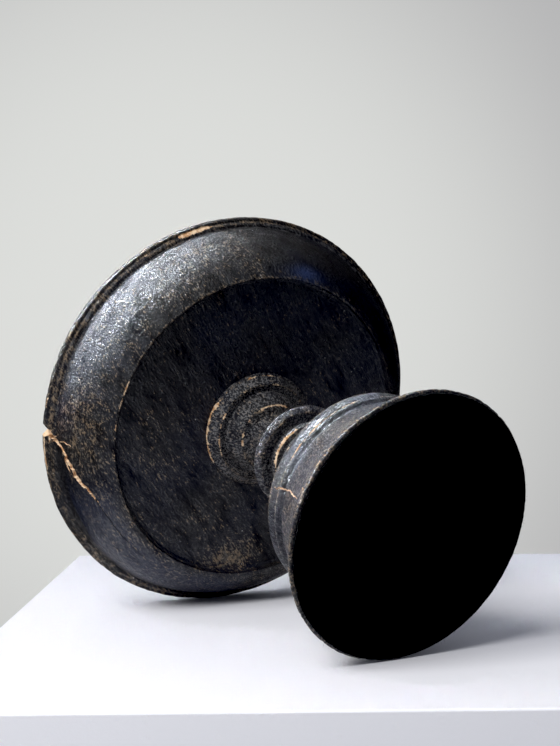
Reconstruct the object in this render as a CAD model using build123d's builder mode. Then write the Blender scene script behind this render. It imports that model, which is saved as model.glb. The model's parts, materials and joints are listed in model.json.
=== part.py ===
"""Turned wooden candlestick: a wide dished plate on a short turned stem and a small flared foot.

Millimetres, +Z up, origin at the middle of the felt's underside. Every piece is turned, so each one is
half a section drawn on the XZ plane and revolved about the Z axis.
"""

from build123d import *
import os

# ---- Heights of the joints and edges above the table ----
FELT_T = 2.0  # felt disc glued under the foot
FOOT_TOP_Z = 94.8  # shoulder where the stem stands on the foot
RECESS_Z = 157.0  # floor of the recess under the plate, where the stem's collar bears
RIM_Z = 182.4  # height of the plate's widest line
LIP_Z = 188.4  # top of the plate's lip
DISH_Z = 181.0  # floor of the dish that the candle stands in

# ---- Radii of the outside ----
PLATE_R = 120.0  # rim
CREASE_R = 90.4  # sharp edge between the plate's shoulder and its recess
DISH_R = 98.0  # flat floor of the dish
FELT_R = 64.9
FOOT_R = 66.2  # lower rim of the foot
FOOT_TOP_R = 18.6
COLLAR_R = 33.7
NECK_R = 12.0
KNOP_R = 28.6

# ---- Joinery ----
JOINT_GAP = 0.05  # glue line around each tenon
TOP_TENON_R = 14.0
TOP_TENON_L = 16.0
FOOT_TENON_R = 11.0
FOOT_TENON_L = 29.0
TENON_CHAMFER = 1.0
END_GAP = 1.0  # room for glue beyond each tenon's end

# ---- Foot screw, 5 x 80 with a washer, in a counterbore that the felt covers ----
SCREW_R = 2.5
SCREW_L = 80.0
SCREW_HEAD_R = 4.8
SCREW_HEAD_H = 3.2
SCREW_SLOT_W = 1.3
SCREW_SLOT_DEPTH = 1.4
WASHER_R = 8.0
WASHER_T = 1.2
WASHER_BORE_R = 2.8
COUNTERBORE_R = 9.0
COUNTERBORE_DEPTH = 10.0

# ---- Pricket: a steel spike on a small flange, screwed down through the plate into the stem ----
PRICKET_R = 2.5
PRICKET_PIN_L = 8.0  # straight part above the flange
PRICKET_TAPER_L = 22.0
PRICKET_TIP_R = 0.25
PRICKET_FLANGE_R = 16.0
PRICKET_FLANGE_T = 1.6
PRICKET_THREAD_R = 3.0
PRICKET_THREAD_L = 42.0

THREAD_PITCH = 2.2
THREAD_DEPTH = 0.6
FIT_CLEARANCE = 0.02

COUNTERBORE_Z = FELT_T + COUNTERBORE_DEPTH
SCREW_SEAT_Z = COUNTERBORE_Z - WASHER_T
SCREW_TIP_Z = SCREW_SEAT_Z + SCREW_L
FOOT_MORTISE_Z = FOOT_TOP_Z - FOOT_TENON_L - END_GAP
PLATE_MORTISE_Z = RECESS_Z + TOP_TENON_L + END_GAP
FLANGE_SEAT_Z = DISH_Z - PRICKET_FLANGE_T
THREAD_END_Z = FLANGE_SEAT_Z - PRICKET_THREAD_L


def threaded_edge(crest_r, start_z, end_z):
    """Sawtooth outline of a wood screw's thread, as (r, z) points from start_z to end_z."""
    turns = int(abs(end_z - start_z) / THREAD_PITCH)
    step = (end_z - start_z) / turns
    points = []
    for turn in range(turns):
        z = start_z + turn * step
        points.append((crest_r - THREAD_DEPTH, z))
        points.append((crest_r, z + 0.45 * step))
        points.append((crest_r, z + 0.55 * step))
    points.append((crest_r - THREAD_DEPTH, end_z))
    return points


os.makedirs("parts", exist_ok=True)

# ---- Felt pad: a plain disc under the foot ----
with BuildPart() as felt_pad:
    with BuildSketch():
        Circle(FELT_R)
    extrude(amount=FELT_T)

# ---- Foot: rim, hollowed cone, double bead and a long cove up to the stem ----
RIM_BAND_Z = FELT_T + 1.8
CONE_TOP = (50.6, 37.0)
LOWER_BEAD = ((51.2, 37.9), (51.7, 41.3))
UPPER_BEAD = ((51.9, 41.8), (52.3, 46.9), (50.6, 49.6))
COVE_START = (50.0, 50.0)
FOOT_NECK = (FOOT_TOP_R, FOOT_TOP_Z - 1.2)

with BuildPart() as foot:
    with BuildSketch(Plane.XZ):
        with BuildLine():
            Line((0, FELT_T), (FOOT_R - 0.6, FELT_T))
            Line((FOOT_R - 0.6, FELT_T), (FOOT_R, FELT_T + 0.5))
            Line((FOOT_R, FELT_T + 0.5), (FOOT_R - 0.2, RIM_BAND_Z))
            SagittaArc((FOOT_R - 0.2, RIM_BAND_Z), CONE_TOP, 2.0)
            Line(CONE_TOP, LOWER_BEAD[0])
            SagittaArc(LOWER_BEAD[0], LOWER_BEAD[1], -1.0)
            Line(LOWER_BEAD[1], UPPER_BEAD[0])
            SagittaArc(UPPER_BEAD[0], UPPER_BEAD[1], -0.4)
            SagittaArc(UPPER_BEAD[1], UPPER_BEAD[2], -0.3)
            Line(UPPER_BEAD[2], COVE_START)
            SagittaArc(COVE_START, FOOT_NECK, 3.4)
            Line(FOOT_NECK, (FOOT_TOP_R - 0.8, FOOT_TOP_Z))
            Line((FOOT_TOP_R - 0.8, FOOT_TOP_Z), (0, FOOT_TOP_Z))
            Line((0, FOOT_TOP_Z), (0, FELT_T))
        make_face()
    revolve(axis=Axis.Z)
    with Locations((0, 0, FOOT_TOP_Z)):
        Hole(FOOT_TENON_R + JOINT_GAP, depth=FOOT_TENON_L + END_GAP)
    with BuildSketch(Plane.XY.offset(FELT_T)):
        Circle(COUNTERBORE_R)
    extrude(amount=COUNTERBORE_DEPTH, mode=Mode.SUBTRACT)
    with BuildSketch(Plane.XY.offset(COUNTERBORE_Z)):
        Circle(SCREW_R + 0.3)
    extrude(amount=FOOT_MORTISE_Z - COUNTERBORE_Z, mode=Mode.SUBTRACT)

# ---- Stem: tenon, ring, knop, neck, ovolo, collar and tenon, turned from one billet ----
LOWER_NECK_R = 17.4
RING = ((20.2, FOOT_TOP_Z + 3.5), (20.5, FOOT_TOP_Z + 7.5))
KNOP_Z = FOOT_TOP_Z + 11.4
KNOP_ROOT = (19.8, KNOP_Z - 2.8)
KNOP_FRONT = (25.8, KNOP_Z - 3.0)
KNOP_BACK = (21.0, KNOP_Z + 5.2)
NECK_LOW = (14.8, KNOP_Z + 6.1)
NECK_HIGH = (14.4, 138.4)
OVOLO = ((19.0, 139.6), (24.2, 149.0))
COLLAR_EDGE = (28.8, 149.4)
COLLAR_ARRIS_Z = 154.4

with BuildPart() as stem:
    with BuildSketch(Plane.XZ):
        with BuildLine():
            Line((0, FOOT_TOP_Z), (LOWER_NECK_R, FOOT_TOP_Z))
            Line((LOWER_NECK_R, FOOT_TOP_Z), (LOWER_NECK_R, RING[0][1] - 0.4))
            Line((LOWER_NECK_R, RING[0][1] - 0.4), RING[0])
            SagittaArc(RING[0], RING[1], -0.4)
            Line(RING[1], KNOP_ROOT)
            Line(KNOP_ROOT, KNOP_FRONT)
            SagittaArc(KNOP_FRONT, (KNOP_R, KNOP_Z), -0.35)
            SagittaArc((KNOP_R, KNOP_Z), KNOP_BACK, -2.0)
            Line(KNOP_BACK, NECK_LOW)
            ThreePointArc(NECK_LOW, (NECK_R, 125.5), NECK_HIGH)
            Line(NECK_HIGH, OVOLO[0])
            SagittaArc(OVOLO[0], OVOLO[1], -1.9)
            Line(OVOLO[1], (OVOLO[1][0], 150.6))
            Line((OVOLO[1][0], 150.6), COLLAR_EDGE)
            SagittaArc(COLLAR_EDGE, (COLLAR_R, COLLAR_ARRIS_Z), 0.5)
            Line((COLLAR_R, COLLAR_ARRIS_Z), (COLLAR_R, RECESS_Z))
            Line((COLLAR_R, RECESS_Z), (0, RECESS_Z))
            Line((0, RECESS_Z), (0, FOOT_TOP_Z))
        make_face()
    revolve(axis=Axis.Z)
    with BuildSketch(Plane.XY.offset(RECESS_Z)):
        Circle(TOP_TENON_R)
    extrude(amount=TOP_TENON_L)
    with BuildSketch(Plane.XY.offset(FOOT_TOP_Z)):
        Circle(FOOT_TENON_R)
    extrude(amount=-FOOT_TENON_L)
    chamfer(faces().sort_by(Axis.Z)[0].edges(), TENON_CHAMFER)
    chamfer(faces().sort_by(Axis.Z)[-1].edges(), TENON_CHAMFER)
    with BuildSketch(Plane.XY.offset(FOOT_TOP_Z - FOOT_TENON_L)):
        Circle(SCREW_R)
    extrude(amount=SCREW_TIP_Z + END_GAP - FOOT_TOP_Z + FOOT_TENON_L, mode=Mode.SUBTRACT)
    with Locations((0, 0, RECESS_Z + TOP_TENON_L)):
        Hole(PRICKET_THREAD_R, depth=RECESS_Z + TOP_TENON_L - THREAD_END_Z + END_GAP)

# ---- Plate: recess and shoulder below, two beads at the rim, a shallow dish above ----
SHOULDER_TOP = (113.9, 179.5)
INNER_BEAD = ((114.7, 180.7), (117.5, 181.9))
OUTER_BEAD = ((117.8, 182.2), (PLATE_R - 0.1, RIM_Z + 1.4))
CREASE_Z = 152.4
RECESS_FLOOR_R = 87.4
RECESS_WALL = (89.2, 155.2)

with BuildPart() as plate:
    with BuildSketch(Plane.XZ):
        with BuildLine():
            Line((0, RECESS_Z), (RECESS_FLOOR_R, RECESS_Z))
            SagittaArc((RECESS_FLOOR_R, RECESS_Z), RECESS_WALL, -0.5)
            Line(RECESS_WALL, (CREASE_R - 0.8, CREASE_Z))
            Line((CREASE_R - 0.8, CREASE_Z), (CREASE_R, CREASE_Z + 0.2))
            SagittaArc((CREASE_R, CREASE_Z + 0.2), SHOULDER_TOP, -4.0)
            Line(SHOULDER_TOP, INNER_BEAD[0])
            SagittaArc(INNER_BEAD[0], INNER_BEAD[1], -1.0)
            Line(INNER_BEAD[1], OUTER_BEAD[0])
            SagittaArc(OUTER_BEAD[0], OUTER_BEAD[1], -0.9)
            Line(OUTER_BEAD[1], (PLATE_R - 0.1, RIM_Z + 2.4))
            SagittaArc((PLATE_R - 0.1, RIM_Z + 2.4), (PLATE_R - 4.0, LIP_Z), -1.1)
            Line((PLATE_R - 4.0, LIP_Z), (PLATE_R - 10.0, LIP_Z))
            SagittaArc((PLATE_R - 10.0, LIP_Z), (DISH_R, DISH_Z), 2.4)
            Line((DISH_R, DISH_Z), (0, DISH_Z))
            Line((0, DISH_Z), (0, RECESS_Z))
        make_face()
    revolve(axis=Axis.Z)
    with BuildSketch(Plane.XY.offset(RECESS_Z)):
        Circle(TOP_TENON_R + JOINT_GAP)
    extrude(amount=TOP_TENON_L + END_GAP, mode=Mode.SUBTRACT)
    with Locations((0, 0, DISH_Z)):
        CounterBoreHole(
            radius=PRICKET_THREAD_R + 0.2,
            counter_bore_radius=PRICKET_FLANGE_R + 0.2,
            counter_bore_depth=PRICKET_FLANGE_T,
            depth=DISH_Z - PLATE_MORTISE_Z,
        )

# ---- Foot screw: slotted round head down in the counterbore, thread up in the stem ----
SCREW_SHANK_R = SCREW_R - FIT_CLEARANCE
SCREW_THREAD_Z = SCREW_TIP_Z - 50.0

with BuildPart() as foot_screw:
    with BuildSketch(Plane.XZ):
        with BuildLine():
            Polyline(
                (0, SCREW_TIP_Z),
                (0, SCREW_SEAT_Z - SCREW_HEAD_H),
                (SCREW_HEAD_R - 2.4, SCREW_SEAT_Z - SCREW_HEAD_H),
            )
            RadiusArc(
                (SCREW_HEAD_R - 2.4, SCREW_SEAT_Z - SCREW_HEAD_H),
                (SCREW_HEAD_R, SCREW_SEAT_Z - 0.8),
                -2.6,
            )
            Polyline(
                (SCREW_HEAD_R, SCREW_SEAT_Z - 0.8),
                (SCREW_HEAD_R, SCREW_SEAT_Z),
                (SCREW_SHANK_R, SCREW_SEAT_Z),
                (SCREW_SHANK_R, SCREW_THREAD_Z - 1.0),
                *threaded_edge(SCREW_SHANK_R, SCREW_THREAD_Z, SCREW_TIP_Z - 4.0),
                (0, SCREW_TIP_Z),
            )
        make_face()
    revolve(axis=Axis.Z)
    with BuildSketch(Plane.XY.offset(SCREW_SEAT_Z - SCREW_HEAD_H)):
        Rectangle(2 * SCREW_HEAD_R, SCREW_SLOT_W)
    extrude(amount=SCREW_SLOT_DEPTH, mode=Mode.SUBTRACT)

# ---- Foot washer: between the screw's head and the wood ----
with BuildPart() as foot_washer:
    with BuildSketch(Plane.XY.offset(SCREW_SEAT_Z)):
        Circle(WASHER_R)
        Circle(WASHER_BORE_R, mode=Mode.SUBTRACT)
    extrude(amount=WASHER_T)

# ---- Pricket: spike, flange let in flush with the dish, threaded shank ----
THREAD_CREST_R = PRICKET_THREAD_R - FIT_CLEARANCE
PIN_TOP_Z = DISH_Z + PRICKET_PIN_L
SPIKE_TIP_Z = PIN_TOP_Z + PRICKET_TAPER_L

with BuildPart() as pricket:
    with BuildSketch(Plane.XZ):
        with BuildLine():
            Polyline(
                (0, SPIKE_TIP_Z),
                (0, THREAD_END_Z),
                (THREAD_CREST_R - 1.4, THREAD_END_Z),
                *threaded_edge(THREAD_CREST_R, THREAD_END_Z + 2.0, FLANGE_SEAT_Z - 6.0),
                (THREAD_CREST_R - THREAD_DEPTH, FLANGE_SEAT_Z),
                (PRICKET_FLANGE_R, FLANGE_SEAT_Z),
                (PRICKET_FLANGE_R, DISH_Z - 0.4),
                (PRICKET_FLANGE_R - 0.4, DISH_Z),
                (PRICKET_R, DISH_Z),
                (PRICKET_R, PIN_TOP_Z),
                (PRICKET_TIP_R, SPIKE_TIP_Z - PRICKET_TIP_R),
                (0, SPIKE_TIP_Z),
            )
        make_face()
    revolve(axis=Axis.Z)

felt_pad.part.label = "felt_pad"
foot.part.label = "foot"
stem.part.label = "stem"
plate.part.label = "plate"
foot_screw.part.label = "foot_screw"
foot_washer.part.label = "foot_washer"
pricket.part.label = "pricket"

export_step(felt_pad.part, "parts/felt_pad.step")
export_step(foot.part, "parts/foot.step")
export_step(stem.part, "parts/stem.step")
export_step(plate.part, "parts/plate.step")
export_step(foot_screw.part, "parts/foot_screw.step")
export_step(foot_washer.part, "parts/foot_washer.step")
export_step(pricket.part, "parts/pricket.step")
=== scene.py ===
"""Looks of a turned wooden candlestick: black paint worn through to the wood along its edges, a split in
the plate's rim, and black felt under the foot.

Metres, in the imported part's frame: +Z up from the felt to the plate, origin at the middle of the felt's
underside. Outlines are in millimetres. In the picture the candlestick lies on its side on a white plinth,
on its rim and the edge of its foot, so the camera, the plinth and the lights are placed in a studio
frame (right, depth, up) that is worked out from those two edges.
"""

import json
import math

import bmesh
import bpy
import numpy as np
from mathutils import Matrix, Vector, noise

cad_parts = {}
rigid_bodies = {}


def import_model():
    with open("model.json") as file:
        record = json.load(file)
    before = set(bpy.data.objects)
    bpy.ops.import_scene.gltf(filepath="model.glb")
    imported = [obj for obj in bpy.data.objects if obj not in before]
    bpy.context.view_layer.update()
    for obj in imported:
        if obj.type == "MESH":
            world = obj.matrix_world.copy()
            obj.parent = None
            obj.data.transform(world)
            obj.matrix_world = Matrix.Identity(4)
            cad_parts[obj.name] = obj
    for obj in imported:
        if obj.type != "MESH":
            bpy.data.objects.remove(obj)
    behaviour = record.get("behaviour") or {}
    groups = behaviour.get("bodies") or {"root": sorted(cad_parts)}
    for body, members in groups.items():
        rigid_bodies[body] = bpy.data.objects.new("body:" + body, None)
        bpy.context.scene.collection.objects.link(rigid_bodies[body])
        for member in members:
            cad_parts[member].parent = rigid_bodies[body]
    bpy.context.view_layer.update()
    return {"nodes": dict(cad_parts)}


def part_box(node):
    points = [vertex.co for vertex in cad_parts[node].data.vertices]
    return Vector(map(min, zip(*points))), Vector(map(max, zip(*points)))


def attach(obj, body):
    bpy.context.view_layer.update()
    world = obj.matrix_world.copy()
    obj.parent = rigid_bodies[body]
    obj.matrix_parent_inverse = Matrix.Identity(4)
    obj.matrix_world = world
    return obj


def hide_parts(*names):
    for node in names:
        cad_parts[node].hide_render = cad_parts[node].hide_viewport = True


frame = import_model()

MM = 0.001

# ---- How it lies ----
RIM_EDGE_Z = 184.3 * MM  # height of the plate's widest line
FOOT_EDGE_Z = 2.5 * MM  # height of the foot's widest line
AXIS_HEADING = math.radians(117.9)  # from the studio's right, towards depth, to the way the top points

plate_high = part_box("plate")[1]
foot_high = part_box("foot")[1]
felt_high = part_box("felt_pad")[1]


def studio_frame():
    """Matrix from studio coordinates to the part's frame, origin at the middle of the felt."""
    lean = math.atan2(plate_high.y - foot_high.y, RIM_EDGE_Z - FOOT_EDGE_Z)
    up = Vector((0, -math.cos(lean), math.sin(lean)))
    along = Vector((0, math.sin(lean), math.cos(lean)))
    across = Vector((1, 0, 0))
    right = across * math.sin(AXIS_HEADING) + along * math.cos(AXIS_HEADING)
    depth = -across * math.cos(AXIS_HEADING) + along * math.sin(AXIS_HEADING)
    return Matrix((right, depth, up)).transposed().to_4x4()


STUDIO = studio_frame()
PLINTH_UP = (STUDIO.inverted() @ Vector((0, foot_high.y, FOOT_EDGE_Z))).z


# ---------------------------------------------------------------------------------------------------
# Camera
# ---------------------------------------------------------------------------------------------------
CAMERA_AT = Vector((-0.08176, -0.46721, 0.05406))  # studio, metres
CAMERA_YAW = 2.30  # degrees to the right of straight ahead
CAMERA_PITCH = 2.18  # degrees up
CAMERA_ROLL = 0.08  # degrees anticlockwise
CAMERA_LENS = 49.35  # millimetres, on a sensor 36 mm across its longer side


def make_camera():
    data = bpy.data.cameras.new("camera")
    data.lens = CAMERA_LENS
    data.sensor_width = 36
    data.clip_start = 0.01
    data.clip_end = 20
    camera = bpy.data.objects.new("camera", data)
    bpy.context.collection.objects.link(camera)
    turn = (
        Matrix.Rotation(math.radians(-CAMERA_YAW), 4, "Z")
        @ Matrix.Rotation(math.radians(90 + CAMERA_PITCH), 4, "X")
        @ Matrix.Rotation(math.radians(CAMERA_ROLL), 4, "Z")
    )
    camera.matrix_world = STUDIO @ Matrix.Translation(CAMERA_AT) @ turn
    bpy.context.scene.camera = camera


# ---------------------------------------------------------------------------------------------------
# Node helpers
# ---------------------------------------------------------------------------------------------------
def node(tree, kind, inputs=None, **settings):
    """Adds a shader node. Inputs are numbers, tuples or other nodes' outputs, by name or index."""
    made = tree.nodes.new("ShaderNode" + kind)
    for name, value in settings.items():
        setattr(made, name, value)
    for name, value in (inputs or {}).items():
        if isinstance(value, bpy.types.NodeSocket):
            tree.links.new(value, made.inputs[name])
        else:
            made.inputs[name].default_value = value
    return made


def maths(tree, operation, a, b=0.0, clamp=False):
    return node(tree, "Math", {0: a, 1: b}, operation=operation, use_clamp=clamp).outputs[0]


def plus(tree, a, b, clamp=False):
    return maths(tree, "ADD", a, b, clamp)


def times(tree, a, b, clamp=False):
    return maths(tree, "MULTIPLY", a, b, clamp)


def step(tree, value, low, high):
    """0 below low, 1 above high, smooth between."""
    made = node(
        tree,
        "MapRange",
        {"Value": value, "From Min": low, "From Max": high},
        interpolation_type="SMOOTHSTEP",
    )
    return made.outputs["Result"]


def blend_colour(tree, factor, a, b):
    made = node(tree, "Mix", data_type="RGBA", clamp_factor=True)
    for socket, value in ((made.inputs[0], factor), (made.inputs[6], a), (made.inputs[7], b)):
        if isinstance(value, bpy.types.NodeSocket):
            tree.links.new(value, socket)
        else:
            socket.default_value = value if isinstance(value, float) else (*value, 1.0)
    return made.outputs[2]


def fine_noise(tree, where, scale, detail=2.0, roughness=0.5, distortion=0.0):
    made = node(
        tree,
        "TexNoise",
        {
            "Vector": where,
            "Scale": scale,
            "Detail": detail,
            "Roughness": roughness,
            "Distortion": distortion,
        },
    )
    return made.outputs["Fac"]


def attribute(tree, name, output="Fac"):
    return node(tree, "Attribute", attribute_name=name).outputs[output]


def new_material(name):
    material = bpy.data.materials.new(name)
    material.use_nodes = True
    material.node_tree.nodes.clear()
    return material, material.node_tree


# ---------------------------------------------------------------------------------------------------
# Turned shapes
# ---------------------------------------------------------------------------------------------------
FINE = 0.15  # millimetres between the points that an outline is worked out with
CORNER = 0.22  # millimetres that paint and wear soften each corner by
CLUSTER = 0.75  # how much a step's rows crowd towards its two corners


def arc(start, end, bulge):
    """Points from start to end, both included, along an arc that stands `bulge` out to the right."""
    start, end = np.array(start, float), np.array(end, float)
    chord = end - start
    length = np.hypot(*chord)
    count = max(3, int(length / FINE))
    t = np.linspace(0, 1, count)[:, None]
    if abs(bulge) < 1e-6:
        return start + t * chord
    half = length / 2
    radius = (half**2 + bulge**2) / (2 * bulge)
    sweep = 4 * math.atan(bulge / half)
    right = np.array([chord[1], -chord[0]]) / length
    ahead = chord / length
    centre = (start + end) / 2 + right * (bulge - radius)
    angle = (t - 0.5) * sweep
    return centre + radius * (np.cos(angle) * right + np.sin(angle) * ahead)


def outline_rows(steps):
    """Rows (radius, height) of a closed outline. A step is (radius, height, bulge, rows) and starts where
    the one before it ends, and the first starts where the last ends."""
    points, place = [], []
    start = steps[-1][:2]
    row = 0
    for r, z, bulge, rows in steps:
        run = arc(start, (r, z), bulge)[:-1]
        t = np.arange(len(run)) / len(run)
        points.append(run)
        place.append(row + rows * t)
        start = (r, z)
        row += rows
    points, place = np.concatenate(points), np.concatenate(place)
    reach = int(3 * CORNER / FINE)
    weights = np.exp(-0.5 * (np.arange(-reach, reach + 1) * FINE / CORNER) ** 2)
    weights /= weights.sum()
    smooth = np.empty_like(points)
    for axis in (0, 1):
        wrapped = np.pad(points[:, axis], reach, mode="wrap")
        smooth[:, axis] = np.convolve(wrapped, weights, mode="valid")
    whole = np.arange(row)
    edges = np.concatenate([[0], np.cumsum([s[3] for s in steps])])
    first = edges[np.searchsorted(edges, whole, side="right") - 1]
    span = edges[np.searchsorted(edges, whole, side="right")] - first
    t = (whole - first) / span
    wanted = first + span * (t - CLUSTER * np.sin(2 * np.pi * t) / (2 * np.pi))
    place = np.append(place, row)
    smooth = np.vstack([smooth, smooth[:1]])
    return np.column_stack([np.interp(wanted, place, smooth[:, axis]) for axis in (0, 1)])


def turn_angles(count, dense=(0, 0), share=0.0):
    """Angles in degrees round the axis. A share of them goes to the stretch `dense`."""
    low, high = dense
    inside = int(count * share)
    if inside == 0:
        return np.arange(count) * 360.0 / count
    return np.concatenate(
        [
            np.linspace(low, high, inside, endpoint=False),
            np.linspace(high, low + 360, count - inside, endpoint=False),
        ]
    )


class Turning:
    """A closed outline turned about the axis: a grid of rows by angles. Before the mesh is made, its
    points can be lifted along the surface's normal, in millimetres, and given masks for the material."""

    def __init__(self, steps, angles):
        rows = outline_rows(steps)
        before, after = np.roll(rows, 1, 0), np.roll(rows, -1, 0)
        tangent = after - before
        tangent /= np.hypot(*tangent.T)[:, None] + 1e-9
        self.shape = (len(rows), len(angles))
        self.angle = np.broadcast_to(angles, self.shape)
        self.r = np.broadcast_to(rows[:, :1], self.shape)
        self.z = np.broadcast_to(rows[:, 1:], self.shape)
        self.normal_r = np.broadcast_to(tangent[:, 1:], self.shape)
        self.normal_z = np.broadcast_to(-tangent[:, :1], self.shape)
        run = np.cumsum(np.hypot(*(rows - before).T))
        self.run = np.broadcast_to(run[:, None], self.shape)  # millimetres along the outline
        self.lift = np.zeros(self.shape)
        self.masks = {}

    def window(self, low, high, soft):
        """1 between two angles, falling to 0 over `soft` degrees beyond each."""
        middle, half = (low + high) / 2, (high - low) / 2
        away = np.abs((self.angle - middle + 180) % 360 - 180) - half
        t = np.clip(1 - away / soft, 0, 1)
        return t * t * (3 - 2 * t)

    def line(self, r, z, width):
        """1 on the ring at (r, z), falling off across `width` millimetres."""
        return np.exp(-((self.r - r) ** 2 + (self.z - z) ** 2) / width**2)

    def spot(self, angle, r, z, across, up=None):
        """1 at a point of the surface, falling off across so many millimetres."""
        round_mm = np.radians((self.angle - angle + 180) % 360 - 180) * self.r
        up_mm = (self.r - r) ** 2 + (self.z - z) ** 2
        return np.exp(-((round_mm / across) ** 2) - up_mm / (up or across) ** 2)

    def wear(self, lines):
        """Sum of lines: (amount, from angle, to angle, soft, radius, height, width) for each."""
        total = np.zeros(self.shape)
        for amount, low, high, soft, r, z, width in lines:
            total += amount * self.window(low, high, soft) * self.line(r, z, width)
        return total

    def wave(self, size, seed, stretch=1.0):
        """Smooth noise from -1 to 1 with features about `size` millimetres across."""
        a = np.radians(self.angle)
        x, y = self.r * np.cos(a) / stretch, self.r * np.sin(a) / stretch
        grid = np.stack([x, y, self.z], -1).reshape(-1, 3) / size
        shift = Vector((seed * 7.3, seed * 3.1, seed * 5.7))
        return np.array([noise.noise(Vector(p) + shift) for p in grid]).reshape(self.shape)

    def nicks(self, size, seed, share=0.3):
        """1 in small scattered nicks, 0 between them. A larger share makes more of them."""
        return np.clip((self.wave(size, seed) - 0.45 + share) * 2.5, 0, 1)

    def points(self):
        a = np.radians(self.angle)
        r = self.r + self.lift * self.normal_r
        z = self.z + self.lift * self.normal_z
        return np.stack([r * np.cos(a), r * np.sin(a), z], -1).reshape(-1, 3) * MM

    def mesh(self, name):
        rows, around = self.shape
        i, j = np.meshgrid(np.arange(rows), np.arange(around), indexing="ij")
        below, beside = (i + 1) % rows, (j + 1) % around
        corners = [i * around + j, i * around + beside, below * around + beside, below * around + j]
        faces = np.stack(corners, -1).reshape(-1, 4)
        mesh = bpy.data.meshes.new(name)
        mesh.from_pydata(self.points().tolist(), [], faces.tolist())
        corner = np.empty(len(mesh.loops), int)
        mesh.loops.foreach_get("vertex_index", corner)
        a = np.radians(self.angle)
        turned = np.stack([np.cos(a), np.sin(a), self.run * MM], -1).reshape(-1, 3)
        made = mesh.attributes.new("turned", "FLOAT_VECTOR", "CORNER")
        made.data.foreach_set("vector", turned[corner].ravel().astype(np.float32))
        for mask, values in self.masks.items():
            made = mesh.attributes.new(mask, "FLOAT", "CORNER")
            made.data.foreach_set("value", values.reshape(-1)[corner].astype(np.float32))
        mesh.shade_smooth()
        return mesh


SPLIT_STRIDE = 0.8  # millimetres between a split's sections
SPLIT_PROUD = 1.2  # millimetres that its cutter stands above the surface
SPLIT_MOUTH = 1.3  # its width there, as a share of the stated one
SPLIT_FLOOR = 0.35  # and at the bottom


def split(turning, name, path, depth, seed, ragged=0.25):
    """Mesh of a ragged wedge that follows a path over a turned surface, and cuts a split where it is taken
    away. Each point of the path is (angle, radius, height, width)."""
    random = np.random.default_rng(seed)
    path = np.array(path, float)
    x, y = path[:, 1] * np.cos(np.radians(path[:, 0])), path[:, 1] * np.sin(np.radians(path[:, 0]))
    run = np.hypot(np.hypot(np.diff(x), np.diff(y)), np.diff(path[:, 2]))
    along = np.concatenate([[0], np.cumsum(run)])
    wanted = np.linspace(0, along[-1], max(4, int(along[-1] / SPLIT_STRIDE)))
    angle, r, z, width = (np.interp(wanted, along, column) for column in path.T)
    rows = np.linspace(0, turning.shape[0] - 1, 12 * turning.shape[0])
    line = [
        np.interp(rows, np.arange(turning.shape[0]), column[:, 0])
        for column in (turning.r, turning.z, turning.normal_r, turning.normal_z)
    ]
    nearest = [np.argmin((line[0] - a) ** 2 + (line[1] - b) ** 2) for a, b in zip(r, z)]
    r, z, out_r, out_z = (column[nearest] for column in line)
    turn = np.radians(angle)
    at = np.stack([r * np.cos(turn), r * np.sin(turn), z], -1)
    out = np.stack([out_r * np.cos(turn), out_r * np.sin(turn), out_z], -1)
    ahead = np.gradient(at, axis=0)
    ahead /= np.linalg.norm(ahead, axis=1)[:, None]
    side = np.cross(out, ahead)
    at = at + side * random.normal(0, ragged, (len(at), 1))
    mesh = bmesh.new()
    rings = []
    for k, point in enumerate(at):
        half = width[k] / 2 * random.uniform(0.75, 1.25, 4)
        floor = depth * min(1.0, width[k] / width.max() + 0.35) * random.uniform(0.6, 1.0, 2)
        corners = (
            point + side[k] * half[0] * SPLIT_MOUTH + out[k] * SPLIT_PROUD,
            point + side[k] * half[1] * SPLIT_FLOOR - out[k] * floor[0],
            point - side[k] * half[2] * SPLIT_FLOOR - out[k] * floor[1],
            point - side[k] * half[3] * SPLIT_MOUTH + out[k] * SPLIT_PROUD,
        )
        rings.append([mesh.verts.new(Vector(corner) * MM) for corner in corners])
    skin(mesh, rings)
    return solid_mesh(mesh, name)


def skin(mesh, rings):
    """Closes a row of rings of vertices into a solid, with a cap at each end."""
    for one, two in zip(rings, rings[1:]):
        for k in range(len(one)):
            mesh.faces.new((one[k], one[k - 1], two[k - 1], two[k]))
    mesh.faces.new(rings[0])
    mesh.faces.new(reversed(rings[-1]))


def solid_mesh(mesh, name):
    """Turns a closed bmesh into a mesh of triangles that all face out."""
    bmesh.ops.triangulate(mesh, faces=mesh.faces)
    bmesh.ops.recalc_face_normals(mesh, faces=mesh.faces)
    made = bpy.data.meshes.new(name)
    mesh.to_mesh(made)
    mesh.free()
    return made


SHARP = math.radians(38)  # faces that meet at more than this show an edge


def cut_away(piece, shapes):
    """Takes (mesh, material) shapes away from a piece. The faces that this lays open get the material."""
    group = bpy.data.collections.new("cutters")
    for shape, material in shapes:
        shape.materials.append(material)
        group.objects.link(bpy.data.objects.new(shape.name, shape))
    modifier = piece.modifiers.new("splits", "BOOLEAN")
    modifier.operation = "DIFFERENCE"
    modifier.operand_type = "COLLECTION"
    modifier.solver = "MANIFOLD"
    modifier.material_mode = "TRANSFER"
    modifier.collection = group
    graph = bpy.context.evaluated_depsgraph_get()
    mesh = bpy.data.meshes.new_from_object(
        piece.evaluated_get(graph), preserve_all_data_layers=True, depsgraph=graph
    )
    piece.modifiers.clear()
    piece.data = mesh
    mesh.set_sharp_from_angle(angle=SHARP)
    for cutter in list(group.objects):
        bpy.data.objects.remove(cutter)
    bpy.data.collections.remove(group)


def add_piece(mesh, material, replaces=()):
    """Puts a mesh in the scene as a piece of the object, under the mesh's name."""
    piece = bpy.data.objects.new(mesh.name, mesh)
    bpy.context.collection.objects.link(piece)
    mesh.materials.append(material)
    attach(piece, "root")
    if replaces:
        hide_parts(*replaces)
    return piece


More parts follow.
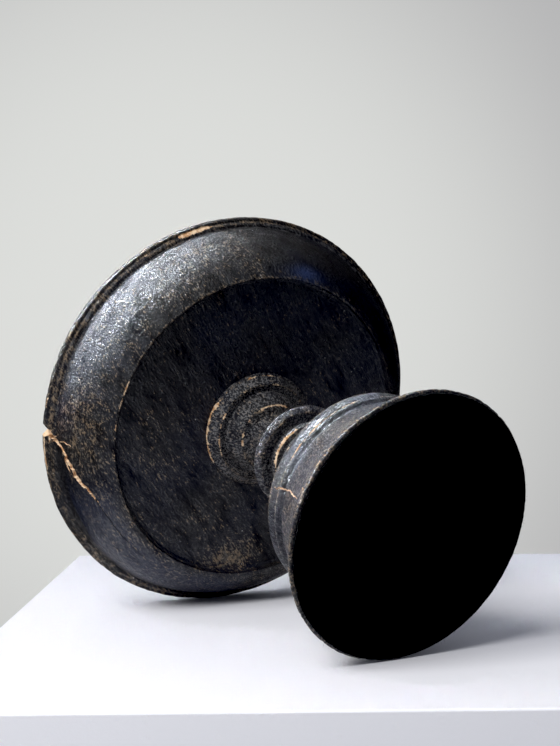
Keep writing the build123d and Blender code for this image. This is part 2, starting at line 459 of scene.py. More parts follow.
# ---------------------------------------------------------------------------------------------------
# Painted wood
# ---------------------------------------------------------------------------------------------------
GRAIN_HEADING = 50.0  # degrees from +X towards +Y, the way the plate's grain runs
BLACK = (0.0056, 0.0058, 0.0105)
SOOT = (0.0095, 0.0086, 0.0085)
MATT_GREY_AND_HIGHLIGHT = (0.150, 0.150, 0.156)  # paint worn matt grey, also used as painted highlight and sheen on crests, arrises and the stem
BLUE_TINT_AND_REFLECTION = (0.050, 0.075, 0.190)  # blue tint; on the lower shoulder, a painted reflection of the plinth's bluish light
RUBBED_LIGHT = (0.200, 0.145, 0.092)  # wood showing through thin paint
RUBBED_DARK = (0.060, 0.052, 0.044)
BARE_LIGHT = (0.76, 0.58, 0.40)  # the wood itself
BARE_DARK = (0.44, 0.24, 0.115)
BREAK_SHADE = (0.22, 0.10, 0.045)  # between the fibres of a fresh break
FLECK = (0.24, 0.20, 0.155)  # where one grain of the paint has gone
DUST = (0.55, 0.54, 0.52)


def weighted(tree, *terms):
    """Sum of (value, weight) pairs, each value counted from its middle, 0.5."""
    total = 0.0
    for value, weight in terms:
        total = plus(tree, times(tree, maths(tree, "SUBTRACT", value, 0.5), weight), total)
    return total


def painted_wood(name, grain_turn, roughness, grit, worn):
    """Black paint over open grain: pebbled and combed along the grain, `grit` times as fine as 1 mm, its
    crests lightened grey by the share `worn`, partly as worn paint and partly as painted glints. It is also
    grey where the mask `grey_and_painted_highlight` says, partly worn matt paint and partly painted
    highlight and sheen; brown on the high spots where `rubbed` says, while a low `rubbed` keeps the paint
    black as painted shade; down to the wood where `bare` says; and blue where
    `blue_tint_and_painted_reflection` says, partly a painted reflection."""
    # coordinates and masks
    material, tree = new_material(name)
    place = node(tree, "TexCoord").outputs["Object"]
    along_grain = node(
        tree,
        "Mapping",
        {"Vector": place, "Rotation": grain_turn, "Scale": (3.2, 1.0, 1.0)},
        vector_type="TEXTURE",
    ).outputs[0]
    turned = node(
        tree,
        "Mapping",
        {"Vector": attribute(tree, "turned", "Vector"), "Scale": (0.02, 0.02, 1.0)},
    ).outputs[0]
    bare = attribute(tree, "bare")
    rubbed = attribute(tree, "rubbed")

    # relief
    combed = fine_noise(tree, along_grain, 1000 * grit, 2, 0.6)
    pebbles = fine_noise(tree, place, 1000 * grit, 2, 0.6)
    tool_marks = fine_noise(tree, turned, 1100, 2, 0.55)
    pits = fine_noise(tree, place, 260, 3, 0.6)
    height = weighted(tree, (combed, 1.9), (pebbles, 0.7), (tool_marks, 0.5), (pits, 0.35))
    crest = step(tree, height, -0.10, 0.28)

    # wear and dust
    blotches = fine_noise(tree, place, 75, 3, 0.6)
    wear = plus(tree, rubbed, weighted(tree, (blotches, 0.8), (pits, 0.35)))
    wear = plus(tree, wear, times(tree, height, 2.2))
    rub = step(tree, wear, 0.34, 0.90)
    bare_level = plus(tree, bare, weighted(tree, (pits, 0.9), (combed, 0.7)))
    peeled = step(tree, bare_level, 0.46, 0.54)
    motes = fine_noise(tree, place, 520, 1, 0.5)
    dusty = step(tree, plus(tree, motes, weighted(tree, (blotches, 0.25))), 0.80, 0.83)

    # colour
    broad = fine_noise(tree, place, 24, 2, 0.5)
    paint = blend_colour(tree, step(tree, broad, 0.35, 0.65), BLACK, SOOT)
    thin = plus(tree, times(tree, rubbed, 1.2), 1.0, clamp=True)
    # crests lightened grey: partly worn paint, partly painted glints standing in for the sheen on the
    # pebbles
    crest_wear_and_glint = times(tree, times(tree, crest, thin), worn)
    # grey where `grey_and_painted_highlight` says: worn matt paint, and painted highlights and sheen along
    # arrises and on the stem
    grey_and_highlight = times(tree, attribute(tree, "grey_and_painted_highlight"), step(tree, height, -0.06, 0.20), clamp=True)
    paint = blend_colour(tree, plus(tree, crest_wear_and_glint, grey_and_highlight, clamp=True), paint, MATT_GREY_AND_HIGHLIGHT)
    # blue where `blue_tint_and_painted_reflection` says, partly a painted reflection of the plinth's bluish
    # light
    paint = blend_colour(tree, attribute(tree, "blue_tint_and_painted_reflection"), paint, BLUE_TINT_AND_REFLECTION)
    brown = blend_colour(tree, step(tree, pits, 0.40, 0.62), RUBBED_DARK, RUBBED_LIGHT)
    paint = blend_colour(tree, times(tree, rub, 0.85), paint, brown)
    flecks = fine_noise(tree, place, 820, 1, 0.5)
    fleck_level = plus(tree, flecks, weighted(tree, (blotches, 0.35)))
    fleck_level = plus(tree, fleck_level, times(tree, rubbed, 0.14))
    paint = blend_colour(tree, step(tree, fleck_level, 0.79, 0.84), paint, FLECK)
    fibres = fine_noise(tree, along_grain, 420, 3, 0.6)
    wood = blend_colour(tree, step(tree, fibres, 0.42, 0.62), BARE_LIGHT, BARE_DARK)
    colour = blend_colour(tree, peeled, paint, wood)
    colour = blend_colour(tree, times(tree, dusty, 0.7), colour, DUST)

    # gloss
    dullness = maths(tree, "SUBTRACT", roughness + 0.12, times(tree, crest, 0.20))
    dullness = plus(tree, dullness, times(tree, peeled, 0.30))
    dullness = plus(tree, dullness, times(tree, rub, 0.15), clamp=True)
    streaks = fine_noise(tree, along_grain, 150, 3, 0.65)
    polish = maths(tree, "SUBTRACT", 1.0, times(tree, grey_and_highlight, 0.5))
    polish = times(tree, polish, step(tree, streaks, 0.18, 0.62))
    gloss = plus(tree, times(tree, crest, 0.32), 0.34)
    gloss = times(tree, gloss, polish)

    relief = maths(tree, "SUBTRACT", height, times(tree, peeled, 0.25))
    bump = node(tree, "Bump", {"Strength": 1.0, "Distance": 0.44 * MM / grit, "Height": relief}).outputs[0]
    shader = node(
        tree,
        "BsdfPrincipled",
        {
            "Base Color": colour,
            "Roughness": dullness,
            "Specular IOR Level": gloss,
            "Normal": bump,
            "IOR": 1.5,
        },
    )
    node(tree, "OutputMaterial", {"Surface": shader.outputs[0]})
    return material


def broken_wood():
    """Fresh break: pale and orange fibres along the grain."""
    material, tree = new_material("broken_wood")
    place = node(tree, "TexCoord").outputs["Object"]
    along_grain = node(
        tree,
        "Mapping",
        {
            "Vector": place,
            "Rotation": (0, 0, math.radians(GRAIN_HEADING)),
            "Scale": (7.0, 1.0, 1.0),
        },
        vector_type="TEXTURE",
    ).outputs[0]
    fibres = fine_noise(tree, along_grain, 1100, 3, 0.6)
    patches = fine_noise(tree, place, 260, 2, 0.5)
    colour = blend_colour(tree, step(tree, patches, 0.42, 0.66), BARE_LIGHT, BARE_DARK)
    colour = blend_colour(tree, step(tree, fibres, 0.55, 0.75), colour, BREAK_SHADE)
    bump = node(tree, "Bump", {"Distance": 0.3 * MM, "Height": fibres}).outputs[0]
    shader = node(
        tree,
        "BsdfPrincipled",
        {"Base Color": colour, "Roughness": 0.85, "Normal": bump},
    )
    node(tree, "OutputMaterial", {"Surface": shader.outputs[0]})
    return material


# ---------------------------------------------------------------------------------------------------
# Plate
# ---------------------------------------------------------------------------------------------------
PLATE_STEPS = [
    # radius, height, bulge, rows
    (30.0, 157.0, 0.0, 3),
    (87.4, 157.0, 0.0, 30),
    (89.2, 155.2, 0.5, 4),
    (89.6, 152.4, 0.0, 5),
    (90.4, 152.6, 0.0, 3),
    (113.9, 179.5, 4.0, 36),
    (114.7, 180.7, 0.0, 3),
    (117.5, 181.9, 0.6, 7),
    (117.8, 182.2, 0.0, 2),
    (119.9, 183.8, 0.9, 6),
    (119.9, 184.8, 0.0, 2),
    (116.0, 188.4, 1.1, 8),
    (110.0, 188.4, 0.0, 5),
    (98.0, 181.0, -2.4, 12),
    (16.2, 181.0, 0.0, 26),
    (16.2, 179.4, 0.0, 1),
    (3.1, 179.4, 0.0, 1),
    (3.1, 174.0, 0.0, 1),
    (14.05, 174.0, 0.0, 1),
    (14.05, 157.0, 0.0, 1),
]

# The split in the rim runs along the grain. Here and for the foot, a point is angle, radius, height, width.
SPLIT = [
    (175.9, 118.4, 183.0, 2.6),
    (173.6, 114.6, 180.4, 2.8),
    (170.7, 112.0, 174.2, 3.0),
    (167.0, 109.8, 170.0, 2.7),
    (163.3, 107.9, 166.9, 3.2),
    (161.0, 106.4, 164.9, 2.4),
    (160.2, 104.9, 163.2, 1.9),
    (157.6, 103.4, 161.6, 1.6),
    (155.5, 102.1, 160.3, 0.7),
]
HAIRLINE = [
    (156.5, 102.6, 160.9, 0.5),
    (148.0, 100.2, 158.6, 0.5),
    (137.0, 98.9, 157.6, 0.4),
    (125.4, 98.4, 157.2, 0.3),
]
SLIVER = [(169.4, 112.6, 175.4, 0.8), (167.2, 111.2, 172.5, 1.7), (164.7, 110.4, 170.9, 0.6)]
SPLINTER = [(173.4, 113.2, 177.0, 0.7), (173.6, 111.2, 172.5, 1.3), (172.9, 109.2, 168.9, 0.6)]
NOTCH = [(178.1, 121.5), (176.6, 118.2), (175.3, 115.6), (174.7, 117.4), (173.8, 121.5)]  # angle, radius
NOTCH_LEVELS = np.arange(174.5, 191.0, 1.5)
NOTCH_LEAN = 0.05  # degrees per millimetre


def notch_cutter():
    """A ragged wedge through the whole height of the rim."""
    random = np.random.default_rng(7)
    mesh = bmesh.new()
    rings = []
    for z in NOTCH_LEVELS:
        ring = []
        for angle, r in NOTCH:
            turn = math.radians(angle + random.uniform(-0.16, 0.16) + NOTCH_LEAN * (z - 183))
            r = r + random.uniform(-0.4, 0.4)
            ring.append(mesh.verts.new(Vector((r * math.cos(turn), r * math.sin(turn), z)) * MM))
        rings.append(ring)
    skin(mesh, rings)
    return solid_mesh(mesh, "notch")


BAREST = 0.75  # the most of the mask `bare`, so that specks of paint are left everywhere
PLATE_BARE = [
    # amount, from angle, to angle, soft, radius, height, width
    (0.62, 244, 251, 2.5, 117.3, 181.6, 2.0),
    (0.34, 228, 262, 8, 117.3, 181.6, 1.0),
    (0.50, 165, 184, 5, 119.5, 183.4, 0.9),
    (0.36, 184, 240, 6, 119.4, 183.2, 0.7),
    (0.50, 112, 173, 4, 119.3, 183.1, 0.8),
    (0.46, 138, 173, 4, 117.1, 181.8, 0.6),
    (0.40, 166, 196, 6, 90.2, 152.5, 0.8),
    (0.22, 196, 232, 8, 90.2, 152.5, 0.5),
]


def make_plate(paint, fresh):
    plate = Turning(PLATE_STEPS, turn_angles(610, dense=(118, 206), share=0.36))
    shoulder = np.clip((plate.r - 91) / 6, 0, 1) * (plate.z < 181)
    recess = (plate.r < 88) * (plate.z < 160)
    rim = np.clip((plate.r - 112) / 4, 0, 1)
    plate.lift += 0.16 * plate.wave(26, 1) + 0.10 * plate.wave(7, 2) + 0.06 * plate.wave(3.2, 3)
    plate.lift += 0.05 * plate.wave(1.6, 4, stretch=14)
    plate.lift += rim * 0.16 * plate.wave(5, 5, stretch=1.5)
    # chipped edges
    chips = plate.nicks(2.4, 6, 0.35)
    plate.lift -= 1.2 * chips * plate.window(180, 205, 5) * plate.line(119.9, 184.6, 1.8)
    plate.lift -= 0.5 * chips * plate.line(119.9, 184.6, 1.6)
    plate.lift -= 0.5 * plate.nicks(2.0, 7) * plate.line(90.2, 152.5, 1.0)
    # a drip of paint with a dent beside it, and a hollow under the split
    plate.lift += 0.8 * plate.spot(208.4, 114.6, 179.9, 2.2, 1.5)
    plate.lift -= 0.8 * plate.spot(204.5, 114.8, 180.4, 5.0, 1.8)
    plate.lift -= 1.0 * plate.window(146, 170, 6) * plate.line(112.8, 176.5, 3.2)

    bare = plate.wear(PLATE_BARE)
    for angle, r, z, width in SPLIT + SLIVER + SPLINTER:
        bare += 0.42 * plate.spot(angle, r, z, 1.2 + 0.5 * width)
    plate.masks["bare"] = np.minimum(bare, BAREST)

    rubbed = 0.02 * shoulder
    rubbed += 0.20 * shoulder * plate.window(170, 186, 10)
    rubbed += 0.30 * plate.spot(184.5, 107, 165.4, 13, 9)
    rubbed += 0.40 * plate.spot(174.0, 108, 167.0, 8, 7)
    rubbed += 0.20 * plate.spot(262.0, 98, 157.0, 18, 7)
    rubbed += 0.34 * plate.spot(246.0, 107, 167.0, 17, 7)
    rubbed += 0.20 * plate.spot(235.0, 101, 159.0, 14, 7)
    # painted shade: the right side of the shoulder, away from the light, kept black
    rubbed -= 0.80 * shoulder * plate.window(272, 350, 14)
    # painted shade: a dark band on the shoulder under the split, kept black
    rubbed -= 1.10 * plate.window(146, 171, 5) * plate.line(112.6, 176.0, 4.0)
    # painted shade: the recess kept darker, in patches
    rubbed -= recess * (0.35 + 0.60 * plate.wave(22, 8))
    rubbed += 0.95 * recess * plate.spot(93, 81, 157, 17, 7)
    rubbed += 0.18 * recess * plate.window(110, 160, 25) * np.clip((plate.r - 45) / 20, 0, 1)
    rubbed += 0.70 * plate.line(116.6, 181.7, 1.7)
    rubbed += 0.70 * plate.line(119.5, 183.4, 1.2)
    rubbed += 0.50 * plate.window(150, 262, 12) * plate.line(90.2, 152.5, 0.9)
    # painted shade: the recess wall inside the crease kept black
    rubbed -= 1.40 * (plate.r < 89.5) * (plate.r > 86.5) * (plate.z < 158) * plate.window(190, 345, 10)
    plate.masks["rubbed"] = rubbed
    # Grey: on the lower shoulder a painted reflection of the plinth's light, in the groove inside the rim
    # bead painted light over its shade, along the crease a painted highlight on the arris
    plate.masks["grey_and_painted_highlight"] = (
        0.12 * shoulder * plate.window(100, 160, 20)
        + 0.75 * plate.window(185, 300, 15) * plate.line(115.4, 181.2, 1.6)
        + 0.80 * plate.window(195, 300, 12) * plate.line(90.3, 152.4, 0.7)
    )
    # Blue: a spot near the top of the recess, and along the lower shoulder a painted reflection of the
    # plinth's bluish light
    plate.masks["blue_tint_and_painted_reflection"] = (
        0.45 * plate.spot(279.5, 94.3, 154.5, 9, 4)
        + 0.11 * shoulder * plate.window(95, 152, 12) * (plate.r < 113)
        + 0.02 * recess
    )

    piece = add_piece(plate.mesh("painted_plate"), paint, ["plate"])
    fissure = [(angle - 0.5, r - 0.4, z - 0.4, 0.55) for angle, r, z, _ in SPLIT]  # deep in the split
    cut_away(
        piece,
        [
            (split(plate, "split", SPLIT, 1.7, 1), fresh),
            (split(plate, "fissure", fissure, 5.0, 2, ragged=0.15), fresh),
            (split(plate, "hairline", HAIRLINE, 1.2, 3, ragged=0.12), paint),
            (split(plate, "sliver", SLIVER, 0.9, 4), fresh),
            (split(plate, "splinter", SPLINTER, 0.8, 5), fresh),
            (notch_cutter(), fresh),
        ],
    )


# ---------------------------------------------------------------------------------------------------
# Stem
# ---------------------------------------------------------------------------------------------------
STEM_STEPS = [
    # radius, height, bulge, rows
    (11.0, 94.8, 0.0, 2),
    (17.4, 94.8, 0.0, 4),
    (17.4, 97.9, 0.0, 5),
    (20.2, 98.3, 0.0, 5),
    (20.5, 102.3, 0.4, 7),
    (19.8, 103.4, 0.0, 3),
    (25.8, 103.2, 0.0, 7),
    (28.6, 106.2, 0.35, 7),
    (21.0, 111.4, 2.0, 12),
    (14.8, 112.3, 0.0, 5),
    (14.4, 138.4, -2.6, 22),
    (19.0, 139.6, 0.0, 5),
    (24.2, 149.0, 1.9, 16),
    (24.2, 150.6, 0.0, 3),
    (28.8, 149.4, 0.0, 6),
    (33.7, 154.4, -0.5, 9),
    (33.7, 157.0, 0.0, 4),
    (14.0, 157.0, 0.0, 2),
    (14.0, 173.0, 0.0, 2),
    (3.0, 173.0, 0.0, 1),
    (3.0, 136.0, 0.0, 1),
    (2.5, 136.0, 0.0, 1),
    (2.5, 65.8, 0.0, 1),
    (11.0, 65.8, 0.0, 1),
]


STEM_BARE = [
    # amount, from angle, to angle, soft, radius, height, width
    (0.64, 249, 279, 4, 33.4, 154.2, 1.3),
    (0.64, 147, 205, 6, 33.7, 155.6, 2.0),
    (0.40, 205, 249, 6, 33.7, 154.6, 0.8),
    (0.58, 150, 200, 5, 28.8, 149.4, 0.8),
    (0.38, 200, 325, 6, 28.8, 149.4, 0.7),
    (0.62, 241, 290, 4, 19.0, 139.7, 1.0),
    (0.58, 166, 184, 4, 19.0, 139.7, 0.9),
    (0.42, 184, 241, 5, 19.0, 139.7, 0.7),
    (0.66, 163, 239, 5, 20.3, 98.5, 0.7),
    (0.40, 180, 222, 8, 20.5, 99.6, 1.2),
    (0.34, 180, 262, 8, 25.8, 103.2, 0.6),
]


def make_stem(paint):
    stem = Turning(STEM_STEPS, turn_angles(420))
    stem.lift += 0.12 * stem.wave(11, 11) + 0.10 * stem.wave(4, 12) + 0.07 * stem.wave(1.8, 13)
    stem.lift -= 1.3 * stem.window(242, 290, 10) * stem.line(33.7, 154.4, 1.7)
    arrises = (
        stem.line(33.7, 154.6, 1.0)
        + stem.line(28.8, 149.4, 0.9)
        + stem.line(19.0, 139.6, 0.8)
        + stem.line(20.3, 98.4, 0.8)
        + stem.line(25.8, 103.2, 0.7)
    )
    stem.lift -= 0.45 * stem.nicks(1.9, 14, 0.4) * arrises
    stem.masks["bare"] = np.minimum(stem.wear(STEM_BARE), 0.8)
    stem.masks["rubbed"] = 0.5 * np.minimum(arrises, 1) + 0.02 + 0.1 * stem.wave(7, 15)
    # grey over the whole stem, more on the collar: worn matt paint, partly a painted sheen
    stem.masks["grey_and_painted_highlight"] = 0.62 + 0.4 * stem.wave(6, 16) + 0.35 * (stem.z > 148)
    add_piece(stem.mesh("painted_stem"), paint, ["stem"])


# ---------------------------------------------------------------------------------------------------
# Foot
# ---------------------------------------------------------------------------------------------------
FOOT_STEPS = [
    # radius, height, bulge, rows
    (65.6, 2.0, 0.0, 3),
    (66.2, 2.5, 0.0, 2),
    (66.0, 3.8, 0.0, 3),
    (60.2, 12.4, -0.16, 18),
    (50.6, 37.0, -1.05, 34),
    (51.2, 37.9, 0.0, 3),
    (51.7, 41.3, 1.0, 8),
    (51.9, 41.8, 0.0, 2),
    (52.3, 46.9, 0.4, 8),
    (50.6, 49.6, 0.3, 6),
    (50.0, 50.0, 0.0, 2),
    (18.6, 93.6, -3.4, 50),
    (17.8, 94.8, 0.0, 3),
    (11.05, 94.8, 0.0, 1),
    (11.05, 64.8, 0.0, 1),
    (2.8, 64.8, 0.0, 1),
    (2.8, 12.0, 0.0, 1),
    (9.0, 12.0, 0.0, 1),
    (9.0, 2.0, 0.0, 1),
]

# A short split from the bead down the cone, and a chip near the edge
FOOT_SPLIT = [
    (186.8, 52.2, 44.5, 0.5),
    (188.4, 51.8, 40.6, 0.9),
    (188.9, 50.7, 37.4, 1.0),
    (190.2, 51.7, 33.0, 0.9),
    (190.3, 53.6, 26.6, 1.1),
    (191.4, 57.8, 16.8, 0.5),
]
FOOT_CHIP = [(199.0, 58.8, 14.2, 0.5), (198.0, 60.8, 11.0, 1.2), (197.2, 62.6, 8.4, 0.5)]


FOOT_BARE = [
    # amount, from angle, to angle, soft, radius, height, width
    (0.60, 210, 274, 6, 51.8, 40.8, 1.2),
    (0.50, 150, 210, 6, 51.8, 40.8, 0.8),
    (0.34, 180, 300, 6, 52.3, 46.9, 0.6),
    (0.48, 190, 250, 6, 66.0, 3.6, 0.7),
    (0.34, 150, 280, 6, 60.4, 11.9, 0.9),
]


def make_foot(paint, fresh):
    foot = Turning(FOOT_STEPS, turn_angles(600))
    foot.lift += 0.14 * foot.wave(18, 21) + 0.10 * foot.wave(5, 22) + 0.07 * foot.wave(2.2, 23)
    foot.lift += 0.05 * foot.wave(1.6, 24, stretch=10)
    arrises = foot.line(51.8, 40.8, 1.0) + foot.line(52.3, 46.9, 0.9) + foot.line(66.0, 3.4, 1.2)
    foot.lift -= 0.5 * foot.nicks(2.2, 25, 0.4) * arrises
    foot.lift += 0.45 * foot.line(60.4, 11.9, 1.2) - 0.70 * foot.line(59.2, 14.6, 1.5)
    cone = (foot.z < 36) * (foot.r > 50)
    bare = foot.wear(FOOT_BARE)
    for angle, r, z, width in FOOT_SPLIT:
        bare += 0.40 * foot.spot(angle, r, z, 1.0 + 0.5 * width)
    foot.masks["bare"] = np.minimum(bare, BAREST)
    # painted highlights: light lines along the felt's edge and the ridge on the cone
    lines = foot.line(66.1, 2.8, 1.3) + foot.line(60.4, 11.9, 0.9)
    # painted shade: the paint is kept black in these grooves
    grooves = foot.line(52.2, 44.0, 1.7) + foot.line(51.0, 37.6, 1.7) + foot.line(59.2, 14.8, 1.5)
    rubbed = 0.55 * np.minimum(arrises, 1) + 0.02 + 0.5 * foot.line(60.4, 11.9, 1.2)
    rubbed += 0.22 * foot.window(165, 225, 25) * cone
    rubbed += 0.9 * foot.line(51.8, 40.8, 0.8) - 1.2 * grooves
    foot.masks["rubbed"] = rubbed
    mottle = 0.55 * foot.wave(9, 26) + 0.5 * foot.wave(2.4, 27)
    # worn grey mottle, plus the painted highlight lines, less the painted shade in the grooves
    foot.masks["grey_and_painted_highlight"] = 0.02 + mottle + 0.7 * lines - 1.4 * grooves
    piece = add_piece(foot.mesh("painted_foot"), paint, ["foot"])
    cut_away(
        piece,
        [
            (split(foot, "foot_split", FOOT_SPLIT, 1.0, 6, ragged=0.2), fresh),
            (split(foot, "foot_chip", FOOT_CHIP, 0.7, 8, ragged=0.2), fresh),
        ],
    )


# ---------------------------------------------------------------------------------------------------
# Felt
# ---------------------------------------------------------------------------------------------------
FELT_R = felt_high.x / MM
FELT_T = felt_high.z / MM
FELT_DARK = (0.0012, 0.0012, 0.0013)
FELT_LIGHT = (0.0050, 0.0050, 0.0056)
LINT_DARK = (0.010, 0.010, 0.011)
LINT_LIGHT = (0.16, 0.16, 0.17)


def black_felt():
    material, tree = new_material("black_felt")
    place = node(tree, "TexCoord").outputs["Object"]
    fibres = fine_noise(tree, place, 1400, 4, 0.7, 1.2)
    clumps = fine_noise(tree, place, 240, 3, 0.6)
    shade = plus(tree, times(tree, fibres, 0.6), times(tree, clumps, 0.4))
    colour = blend_colour(tree, step(tree, shade, 0.4, 0.66), FELT_DARK, FELT_LIGHT)
    bump = node(tree, "Bump", {"Distance": 0.25 * MM, "Height": fibres}).outputs[0]
    shader = node(
        tree,
        "BsdfPrincipled",
        {"Base Color": colour, "Roughness": 1.0, "Specular IOR Level": 0.03, "Normal": bump},
    )
    node(tree, "OutputMaterial", {"Surface": shader.outputs[0]})
    return material


def make_felt(material):
    steps = [
        (FELT_R - 0.35, 0.0, 0.0, 40),
        (FELT_R, 0.5, 0.0, 2),
        (FELT_R - 0.1, FELT_T, 0.0, 3),
        (0.0, FELT_T, 0.0, 4),
        (0.0, 0.0, 0.0, 1),
    ]
    felt = Turning(steps, turn_angles(360))
    low = felt.z < 1
    felt.lift += low * (0.05 * felt.wave(9, 31) + 0.06 * felt.wave(2.5, 32))
    felt.lift += (felt.r > FELT_R - 1.5) * 0.16 * felt.wave(1.7, 33)
    felt.lift -= low * 0.45 * felt.spot(150, 5, 0, 6)
    return add_piece(felt.mesh("felt_disc"), material, ["felt_pad"])


FUZZ = ((150, 0, 360, 1.6), (5, 124, 134, 4.5))  # how many fibres, from angle, to angle, longest
FUZZ_R = 0.035  # millimetres
FUZZ_JOINTS = 5  # short straight runs that a fibre is made of
FUZZ_CURL = 0.25  # how much it turns at each
TRIANGLE = ((1.0, 0.0), (-0.5, 0.87), (-0.5, -0.87))  # a fibre's section


def felt_lint():
    material, tree = new_material("felt_lint")
    place = node(tree, "TexCoord").outputs["Object"]
    shade = fine_noise(tree, place, 700, 2, 0.5)
    colour = blend_colour(tree, shade, LINT_DARK, LINT_LIGHT)
    shader = node(tree, "BsdfPrincipled", {"Base Color": colour, "Roughness": 0.9})
    node(tree, "OutputMaterial", {"Surface": shader.outputs[0]})
    return material


def make_fuzz(material):
    """Stray fibres along the edge of the felt."""
    random = np.random.default_rng(41)
    mesh = bmesh.new()
    for count, first, last, longest in FUZZ:
        for _ in range(count):
            turn = math.radians(random.uniform(first, last))
            out = Vector((math.cos(turn), math.sin(turn), 0))
            side = Vector((-out.y, out.x, 0))
            point = out * (FELT_R - random.uniform(0.1, 1.0)) + Vector((0, 0, 0.3))
            ahead = out * random.uniform(0.2, 0.8) + side * random.uniform(-1, 1)
            ahead.z = -random.uniform(0.1, 0.5)
            stride = longest * random.uniform(0.5, 1.0) / FUZZ_JOINTS
            rings = []
            for _ in range(FUZZ_JOINTS + 1):
                ahead.normalize()
                across = ahead.orthogonal().normalized()
                over = ahead.cross(across)
                corners = [point + (across * a + over * b) * FUZZ_R for a, b in TRIANGLE]
                rings.append([mesh.verts.new(corner * MM) for corner in corners])
                point = point + ahead * stride
                ahead = ahead + Vector(random.normal(0, FUZZ_CURL, 3))
            skin(mesh, rings)
    return add_piece(solid_mesh(mesh, "felt_fuzz"), material)


# ---------------------------------------------------------------------------------------------------
# Steel
# ---------------------------------------------------------------------------------------------------
def steel(name, dark, light, roughness):
    """Plain steel with fine turning marks, darker blotches and brighter rubbed spots."""
    material, tree = new_material(name)
    place = node(tree, "TexCoord").outputs["Object"]
    rings = node(tree, "Mapping", {"Vector": place, "Scale": (0.25, 0.25, 1.0)}).outputs[0]
    marks = fine_noise(tree, rings, 2600, 2, 0.6)
    blotches = fine_noise(tree, place, 320, 3, 0.6)
    colour = blend_colour(tree, step(tree, blotches, 0.38, 0.64), dark, light)
    dullness = plus(tree, times(tree, blotches, 0.3), roughness - 0.15)
    bump = node(tree, "Bump", {"Distance": 0.04 * MM, "Height": marks}).outputs[0]
    shader = node(
        tree,
        "BsdfPrincipled",
        {"Base Color": colour, "Metallic": 1.0, "Roughness": dullness, "Normal": bump},
    )
    node(tree, "OutputMaterial", {"Surface": shader.outputs[0]})
    return material


def finish_hardware():
    """The spike, screw and washer keep their CAD shapes and get better metal."""
    blackened = steel("blackened_spike", (0.035, 0.034, 0.034), (0.12, 0.115, 0.11), 0.48)
    zinc = steel("zinc_screw", (0.42, 0.42, 0.40), (0.66, 0.66, 0.64), 0.36)
    for name, material in (("pricket", blackened), ("foot_screw", zinc), ("foot_washer", zinc)):
        mesh = frame["nodes"][name].data
        for index in range(len(mesh.materials)):
            mesh.materials[index] = material


# ---------------------------------------------------------------------------------------------------
# Studio
# ---------------------------------------------------------------------------------------------------
PLINTH_FRONT = 0.4043  # metres of depth from the camera
PLINTH_BACK = 0.8409
PLINTH_LEFT = -0.1285  # metres to the right of the camera
PLINTH_RIGHT = 0.3081
PLINTH_FACE = 0.09  # how far the front face shows below the top
PLINTH_EDGE_R = 0.0012
PLINTH_EDGE_STEPS = 6
PLINTH_COOL = (0.825, 0.83, 0.885)
PLINTH_PALE = (0.845, 0.85, 0.90)


def plinth_white():
    """Matt white, seen from its painted side only."""
    material, tree = new_material("plinth_white")
    place = node(tree, "TexCoord").outputs["Object"]
    colour = blend_colour(tree, fine_noise(tree, place, 9, 2, 0.5), PLINTH_COOL, PLINTH_PALE)
    grain = fine_noise(tree, place, 900, 3, 0.6)
    bump = node(tree, "Bump", {"Distance": 0.05 * MM, "Height": grain}).outputs[0]
    white = node(
        tree,
        "BsdfPrincipled",
        {"Base Color": colour, "Roughness": 0.45, "Normal": bump},
    )
    clear = node(tree, "BsdfTransparent")
    behind = node(tree, "NewGeometry").outputs["Backfacing"]
    both = node(tree, "MixShader", {0: behind, 1: white.outputs[0], 2: clear.outputs[0]})
    node(tree, "OutputMaterial", {"Surface": both.outputs[0]})
    return material


def make_plinth():
    """The plinth's top and front, as one sheet with a softly rounded edge between them."""
    front, back = CAMERA_AT.y + PLINTH_FRONT, CAMERA_AT.y + PLINTH_BACK
    left, right = CAMERA_AT.x + PLINTH_LEFT, CAMERA_AT.x + PLINTH_RIGHT
    edge = [(front, PLINTH_UP - PLINTH_FACE)]
    for k in range(PLINTH_EDGE_STEPS + 1):
        a = math.radians(90 * k / PLINTH_EDGE_STEPS)
        y = front + PLINTH_EDGE_R * (1 - math.cos(a))
        z = PLINTH_UP - PLINTH_EDGE_R * (1 - math.sin(a))
        edge.append((y, z))
    edge.append((back, PLINTH_UP))
    points = [STUDIO @ Vector((x, y, z)) for y, z in edge for x in (left, right)]
    faces = [(2 * k, 2 * k + 1, 2 * k + 3, 2 * k + 2) for k in range(len(edge) - 1)]
    mesh = bpy.data.meshes.new("plinth")
    mesh.from_pydata(points, [], faces)
    mesh.materials.append(plinth_white())
    mesh.shade_smooth()
    plinth = bpy.data.objects.new("plinth", mesh)
    bpy.context.collection.objects.link(plinth)


KEY_AT = Vector((-0.78, -0.76, 1.03))  # studio, metres
KEY_TARGET = Vector((-0.02, 0.05, 0.0))
KEY_SIZE = 0.8
KEY_POWER = 29.5
KEY_COLOUR = (1.0, 0.99, 0.97)


def make_key_light():
    """One large soft light, up to the left of the camera. The sheen comes from the world instead."""
    data = bpy.data.lights.new("key", "AREA")
    data.size = KEY_SIZE
    data.energy = KEY_POWER
    data.color = KEY_COLOUR
    light = bpy.data.objects.new("key", data)
    bpy.context.collection.objects.link(light)
    start, end = STUDIO @ KEY_AT, STUDIO @ KEY_TARGET
    light.location = start
    light.rotation_mode = "QUATERNION"
    light.rotation_quaternion = (end - start).to_track_quat("-Z", "Y")
    light.visible_glossy = False


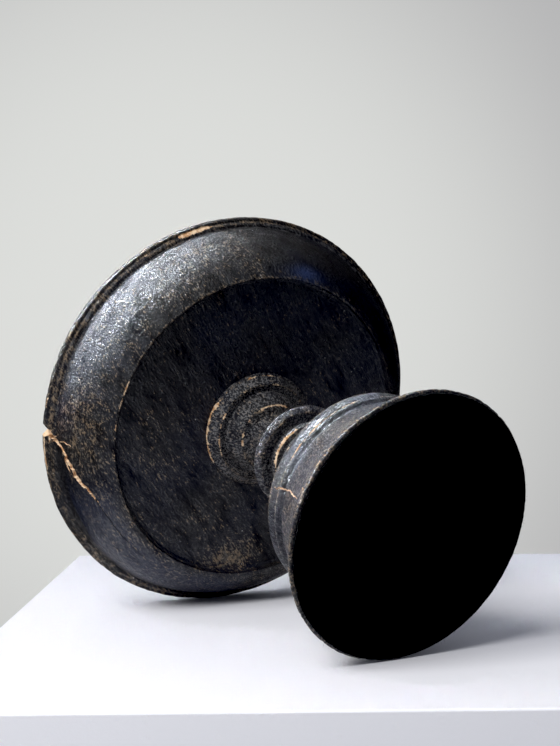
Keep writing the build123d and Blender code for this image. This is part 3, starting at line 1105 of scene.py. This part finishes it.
# Directions are studio ones.
WALL_CENTRE = Vector((-0.06, 1.0, 0.09))  # where the camera sees the wall brightest
WALL_FAR = (0.47, 0.47, 0.475)
WALL_NEAR = (0.725, 0.735, 0.715)
WALL_SIDE = Vector((-0.45, 1, 0.1))  # where the wall lights the object from
WALL_LIGHT = (0.46, 0.47, 0.50)
ROOM_HIGH = Vector((-0.35, 0.35, 1.0))
ROOM_LIGHT = (0.35, 0.36, 0.40)
ROOM_DARK = (0.055, 0.061, 0.085)
NOT_MIRRORED = 0.88  # share of that light left out of the paint's gloss, which has its own below
SHEEN_COLOUR = (0.84, 0.91, 1.0, 1.0)
SHEEN = (
    # direction, how narrow and how bright, of light that only shows as sheen on the paint
    (Vector((-0.60, -0.08, 0.80)), 260.0, 1350.0),  # a window
    (Vector((-0.60, -0.08, 0.80)), 4.0, 2.0),  # the wall round it
    (Vector((-0.15, -0.90, 0.35)), 5.0, 3.2),  # the room behind the camera
)


def make_world():
    """A pale grey wall for the camera to see. For lighting, it is brighter on the wall's side and above."""
    world = bpy.data.worlds.new("studio")
    world.use_nodes = True
    tree = world.node_tree
    tree.nodes.clear()
    towards = node(tree, "TexCoord").outputs["Generated"]

    def along(direction):
        direction = (STUDIO.to_3x3() @ direction).normalized()
        made = node(tree, "VectorMath", {0: towards, 1: direction}, operation="DOT_PRODUCT")
        return made.outputs["Value"]

    path = node(tree, "LightPath").outputs
    seen = blend_colour(tree, step(tree, along(WALL_CENTRE), 0.885, 1.0), WALL_FAR, WALL_NEAR)
    room = blend_colour(tree, step(tree, along(ROOM_HIGH), -0.25, 0.75), ROOM_DARK, ROOM_LIGHT)
    lit = blend_colour(tree, step(tree, along(WALL_SIDE), 0.60, 0.97), room, WALL_LIGHT)
    unmirrored = times(tree, path["Is Glossy Ray"], NOT_MIRRORED)
    lit = blend_colour(tree, unmirrored, lit, (0.0, 0.0, 0.0))
    window = 0.0
    for direction, focus, strength in SHEEN:
        lobe = maths(tree, "POWER", maths(tree, "MAXIMUM", along(direction), 0.0), focus)
        window = plus(tree, times(tree, lobe, strength), window)
    window = times(tree, window, path["Is Glossy Ray"])
    colour = blend_colour(tree, path["Is Camera Ray"], lit, seen)
    soft = node(tree, "Background", {"Color": colour, "Strength": 1.0})
    sheen = node(tree, "Background", {"Color": SHEEN_COLOUR, "Strength": window})
    both = node(tree, "AddShader", {0: soft.outputs[0], 1: sheen.outputs[0]})
    node(tree, "OutputWorld", {"Surface": both.outputs[0]})
    bpy.context.scene.world = world


# ---------------------------------------------------------------------------------------------------
# Build
# ---------------------------------------------------------------------------------------------------
BLACK_POINT = 0.006  # light this dim shows as black

view = bpy.context.scene.view_settings
view.view_transform = "Standard"
view.use_curve_mapping = True
view.curve_mapping.black_level = (BLACK_POINT,) * 3

make_camera()
make_world()
make_key_light()
make_plinth()

plate_paint = painted_wood("painted_wood_plate", (0, 0, math.radians(GRAIN_HEADING)), 0.30, 1.1, 0.055)
turned_paint = painted_wood("painted_wood_turned", (0, math.radians(90), 0), 0.40, 1.0, 0.05)
fresh_break = broken_wood()

make_plate(plate_paint, fresh_break)
make_stem(turned_paint)
make_foot(turned_paint, fresh_break)
felt = make_felt(black_felt())
fuzz = make_fuzz(felt_lint())
finish_hardware()
